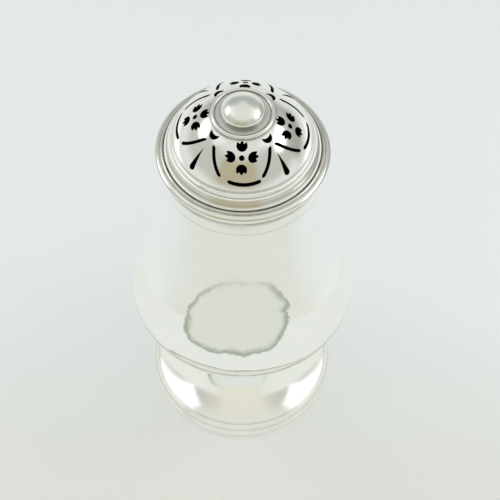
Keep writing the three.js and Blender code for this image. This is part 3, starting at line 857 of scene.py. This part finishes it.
def soft_lamp(name, middle, width, depth, radiance):
    """A level soft white panel over the table, as bright as radiance in its middle.

    It fades over its outer half, which is what gives the silver soft-edged lights.
    """
    lamp = bpy.data.lights.new(name, "AREA")
    lamp.shape, lamp.size, lamp.size_y = "RECTANGLE", width, depth
    lamp.energy = radiance * np.pi * width * depth
    tree = blank(lamp)
    place = add(tree, "ShaderNodeNewGeometry").outputs["Parametric"]
    level = add(tree, "ShaderNodeVectorMath", {0: place, 1: (1.0, 1.0, 0.0)}, operation="MULTIPLY")
    away = add(tree, "ShaderNodeVectorMath", {
        0: level.outputs[0], 1: (0.5, 0.5, 0.0)}, operation="DISTANCE")
    fade = add(tree, "ShaderNodeMapRange", {
        "Value": away.outputs["Value"], "From Min": 0.5, "From Max": 0.2},
        interpolation_type="SMOOTHSTEP")
    glow = add(tree, "ShaderNodeEmission", {"Strength": fade.outputs["Result"]})
    add(tree, "ShaderNodeOutputLight", {"Surface": glow.outputs[0]})
    made = placed(name, lamp)
    made.location = (*middle, LAMP_HEIGHT)
    made.visible_camera = False


def studio_world():
    """A pale tent: even white, with soft shades in front, at the sides and behind."""
    world = bpy.data.worlds.new("pale_tent")
    bpy.context.scene.world = world
    tree = blank(world)
    way = add(tree, "ShaderNodeTexCoord").outputs["Generated"]
    split = add(tree, "ShaderNodeSeparateXYZ", {"Vector": way})
    front = add(tree, "ShaderNodeMath", {0: split.outputs["Y"], 1: -1.0}, operation="MULTIPLY")
    azimuth = add(tree, "ShaderNodeMath", {
        0: split.outputs["X"], 1: front.outputs[0]}, operation="ARCTAN2")
    high = add(tree, "ShaderNodeMapRange", {
        "Value": split.outputs["Z"], "From Min": 0.0, "From Max": 0.95})
    colour = add(tree, "ShaderNodeMix", {
        "Factor": high.outputs["Result"], "A": linear("#e0e4e0"), "B": linear("#dcded9")},
        data_type="RGBA").outputs["Result"]
    for middle, half, low, top, soft, tint in TENT_SHADES:
        aside = add(tree, "ShaderNodeMath", {
            0: azimuth.outputs[0], 1: np.radians(middle)}, operation="SUBTRACT")
        aside = add(tree, "ShaderNodeMath", {0: aside.outputs[0]}, operation="COSINE")
        across = add(tree, "ShaderNodeMapRange", {
            "Value": aside.outputs[0], "From Min": np.cos(np.radians(min(half + soft, 180.0))),
            "From Max": np.cos(np.radians(half - soft))}, interpolation_type="SMOOTHSTEP")
        up = add(tree, "ShaderNodeMapRange", {
            "Value": split.outputs["Z"], "From Min": np.sin(np.radians(low - soft)),
            "From Max": np.sin(np.radians(low + soft))}, interpolation_type="SMOOTHSTEP")
        over = add(tree, "ShaderNodeMapRange", {
            "Value": split.outputs["Z"], "From Min": np.sin(np.radians(top + soft)),
            "From Max": np.sin(np.radians(top - soft))}, interpolation_type="SMOOTHSTEP")
        share = add(tree, "ShaderNodeMath", {
            0: across.outputs[0], 1: up.outputs[0]}, operation="MULTIPLY")
        share = add(tree, "ShaderNodeMath", {
            0: share.outputs[0], 1: over.outputs[0]}, operation="MULTIPLY")
        colour = add(tree, "ShaderNodeMix", {
            "Factor": share.outputs[0], "A": colour, "B": linear(tint)},
            data_type="RGBA").outputs["Result"]
    sky = add(tree, "ShaderNodeBackground", {"Color": colour, "Strength": 1.0})
    add(tree, "ShaderNodeOutputWorld", {"Surface": sky.outputs["Background"]})


def reflected_only(name, mesh, material, colour, strength, clear_share):
    """A glowing sheet on the stage that only reflections see, and that is gone at clear_share 1."""
    tree = material.node_tree
    glow = add(tree, "ShaderNodeEmission", {"Color": colour, "Strength": strength})
    clear = add(tree, "ShaderNodeBsdfTransparent")
    mixed = add(tree, "ShaderNodeMixShader", {
        "Fac": clear_share, 1: glow.outputs[0], 2: clear.outputs[0]})
    add(tree, "ShaderNodeOutputMaterial", {"Surface": mixed.outputs[0]})
    mesh.materials.append(material)
    made = placed(name, mesh)
    made.visible_camera = made.visible_diffuse = made.visible_shadow = False


def fading_sheet(name, mesh, share, tint, strength, fade_from):
    """A sheet of one tint, which fades out where its points' share goes from fade_from to 1."""
    point_values(mesh, "share", share)
    material = bpy.data.materials.new(name)
    tree = blank(material)
    rise = add(tree, "ShaderNodeAttribute", attribute_name="share").outputs["Fac"]
    fade = add(tree, "ShaderNodeMapRange", {
        "Value": rise, "From Min": fade_from, "From Max": 1.0}, interpolation_type="SMOOTHSTEP")
    reflected_only(name, mesh, material, linear(tint), strength, fade.outputs["Result"])


def low_screen():
    """The tent's low wall: a ring round the object, highest in front, that fades at its top.

    It gives the belly and the foot a pale surround below the darker part of the tent, which the
    dome sees over its top. Its height is SCREEN_HEIGHT and, in front, SCREEN_RISE times the
    cosine of the angle from the front.
    """
    steps = 96
    angle = np.arange(steps) * 2 * np.pi / steps
    foot = SCREEN_REACH * np.column_stack([np.sin(angle), -np.cos(angle), np.zeros(steps)])
    rise = SCREEN_HEIGHT + SCREEN_RISE * np.maximum(np.cos(angle), 0)
    top = foot + np.column_stack([np.zeros((steps, 2)), rise])
    mesh = meshed("low_screen", np.vstack([foot, top]),
                  ring_faces(np.arange(steps), np.arange(steps) + steps))
    fading_sheet("glowing_screen", mesh, np.repeat([0.0, 1.0], steps), "#e5e9e4", 1.0, 0.86)


def soft_card(name, across, deep, height, rim, strength):
    """A level white card between two widths and two depths, which fades over its rim."""
    (x0, x1), (y0, y1) = across, deep
    mesh = meshed(name, [
        (x0 - rim, y0 - rim, height), (x1 + rim, y0 - rim, height),
        (x1 + rim, y1 + rim, height), (x0 - rim, y1 + rim, height),
        (x0, y0, height), (x1, y0, height), (x1, y1, height), (x0, y1, height),
    ], [(4, 7, 6, 5), (0, 4, 5, 1), (1, 5, 6, 2), (2, 6, 7, 3), (3, 7, 4, 0)])
    fading_sheet(name, mesh, np.repeat([1.0, 0.0], 4), "#ffffff", strength, 0.0)


def curved_strip(name, low, high, half_angle, tint, fade_from):
    """An upright strip round the front of the foot: an arc at two heights. Its two ends fade."""
    steps = 40
    around = np.linspace(-1, 1, steps)
    angle = np.radians(half_angle) * around
    ring = STRIP_RADIUS * np.column_stack([np.sin(angle), -np.cos(angle)])
    points = np.vstack([np.column_stack([ring, np.full(steps, height)]) for height in (low, high)])
    first = np.arange(steps - 1)
    mesh = meshed(name, points, np.column_stack([
        first, first + 1, first + 1 + steps, first + steps]).tolist())
    fading_sheet(name, mesh, np.tile(np.abs(around), 2), tint, 1.0, fade_from)


def green_sheet():
    """A thin pale green sheet in front, curved up from the table, with a darker uneven edge.

    It is what the belly mirrors in its middle. Its points lie on the board from GREEN_NEAR to
    GREEN_BEND from the axis and then stand up before the low screen. They lie closest together
    where the belly draws the board in, and its UV runs over it from edge to edge.
    """
    columns, rows = 49, 33
    around, along = np.linspace(-1, 1, columns), np.linspace(0, 1, rows)
    run = GREEN_NEAR + GREEN_RUN * along ** 2.1
    reach = np.minimum(run, GREEN_BEND)
    rise = OFF_BOARD + np.maximum(run - GREEN_BEND, 0)
    angle = np.radians(-4 + 61 * around[None, :] + 14 * (0.5 - along[:, None]))
    grid = np.stack([reach[:, None] * np.sin(angle), -reach[:, None] * np.cos(angle),
                     rise[:, None] * np.ones_like(angle)], axis=2).reshape(-1, 3)
    number = np.arange(len(grid)).reshape(rows, columns)
    faces = np.stack([number[:-1, :-1], number[:-1, 1:], number[1:, 1:], number[1:, :-1]], axis=2)
    mesh = meshed("green_sheet", grid, faces.reshape(-1, 4).tolist())
    uv = np.stack(np.meshgrid(around, along * 2 - 1), axis=2).reshape(-1, 2)
    layer = mesh.uv_layers.new(name="sheet")
    corners = np.empty(len(mesh.loops), np.int32)
    mesh.loops.foreach_get("vertex_index", corners)
    layer.data.foreach_set("uv", uv[corners].astype(np.float32).ravel())

    material = bpy.data.materials.new("pale_green_sheet")
    tree = blank(material)
    place = add(tree, "ShaderNodeUVMap", uv_map="sheet").outputs["UV"]
    # The edge, between a rectangle and an ellipse, wavers and is frayed finely
    waver = add(tree, "ShaderNodeTexNoise", {
        "Vector": place, "Scale": 2.0, "Detail": 6.0, "Roughness": 0.68}).outputs["Fac"]
    split = add(tree, "ShaderNodeSeparateXYZ", {"Vector": place})
    parts = []
    for axis in ("X", "Y"):
        size = add(tree, "ShaderNodeMath", {0: split.outputs[axis]}, operation="ABSOLUTE")
        parts.append(add(tree, "ShaderNodeMath", {0: size.outputs[0], 1: 2.6}, operation="POWER"))
    edge = add(tree, "ShaderNodeMath", {
        0: parts[0].outputs[0], 1: parts[1].outputs[0]}, operation="ADD")
    push = add(tree, "ShaderNodeMapRange", {"Value": waver, "To Min": -0.46, "To Max": 0.46})
    edge = add(tree, "ShaderNodeMath", {
        0: edge.outputs[0], 1: push.outputs["Result"]}, operation="ADD")
    border = add(tree, "ShaderNodeMapRange", {
        "Value": edge.outputs[0], "From Min": 0.52, "From Max": 0.76},
        interpolation_type="SMOOTHSTEP")
    outside = add(tree, "ShaderNodeMapRange", {
        "Value": edge.outputs[0], "From Min": 0.76, "From Max": 0.82},
        interpolation_type="SMOOTHSTEP")
    tone = add(tree, "ShaderNodeMix", {
        "Factor": border.outputs["Result"], "A": linear("#daded4"), "B": linear("#a3aa9c")},
        data_type="RGBA").outputs["Result"]
    reflected_only("green_sheet", mesh, material, tone, 1.0, outside.outputs["Result"])


def studio_camera():
    """Looks down at the axis, CAMERA_AIM above the board, from CAMERA_REACH away, barely rolled."""
    elevation, roll = np.radians(CAMERA_ELEVATION), np.radians(CAMERA_ROLL)
    camera = bpy.data.cameras.new("photo_camera")
    camera.sensor_width, camera.lens, camera.shift_x = 36.0, 122.4, 0.0156
    camera.clip_start, camera.clip_end = 0.01, 10.0
    back = np.array([0, -np.cos(elevation), np.sin(elevation)])
    level = np.array([1.0, 0, 0])
    up = np.cross(back, level)
    place = np.eye(4)
    place[:3, 0] = level * np.cos(roll) + up * np.sin(roll)
    place[:3, 1] = up * np.cos(roll) - level * np.sin(roll)
    place[:3, 2] = back
    place[:3, 3] = back * CAMERA_REACH + (0, 0, CAMERA_AIM)
    made = placed("photo_camera", camera)
    made.matrix_world = Matrix(place.tolist())
    bpy.context.scene.camera = made


studio_floor()
studio_world()
low_screen()
for card in CARDS:
    soft_card(*card)
for strip in STRIPS:
    curved_strip(*strip)
green_sheet()
for lamp in LAMPS:
    soft_lamp(*lamp)
studio_camera()
bpy.context.scene.view_settings.view_transform = "Standard"
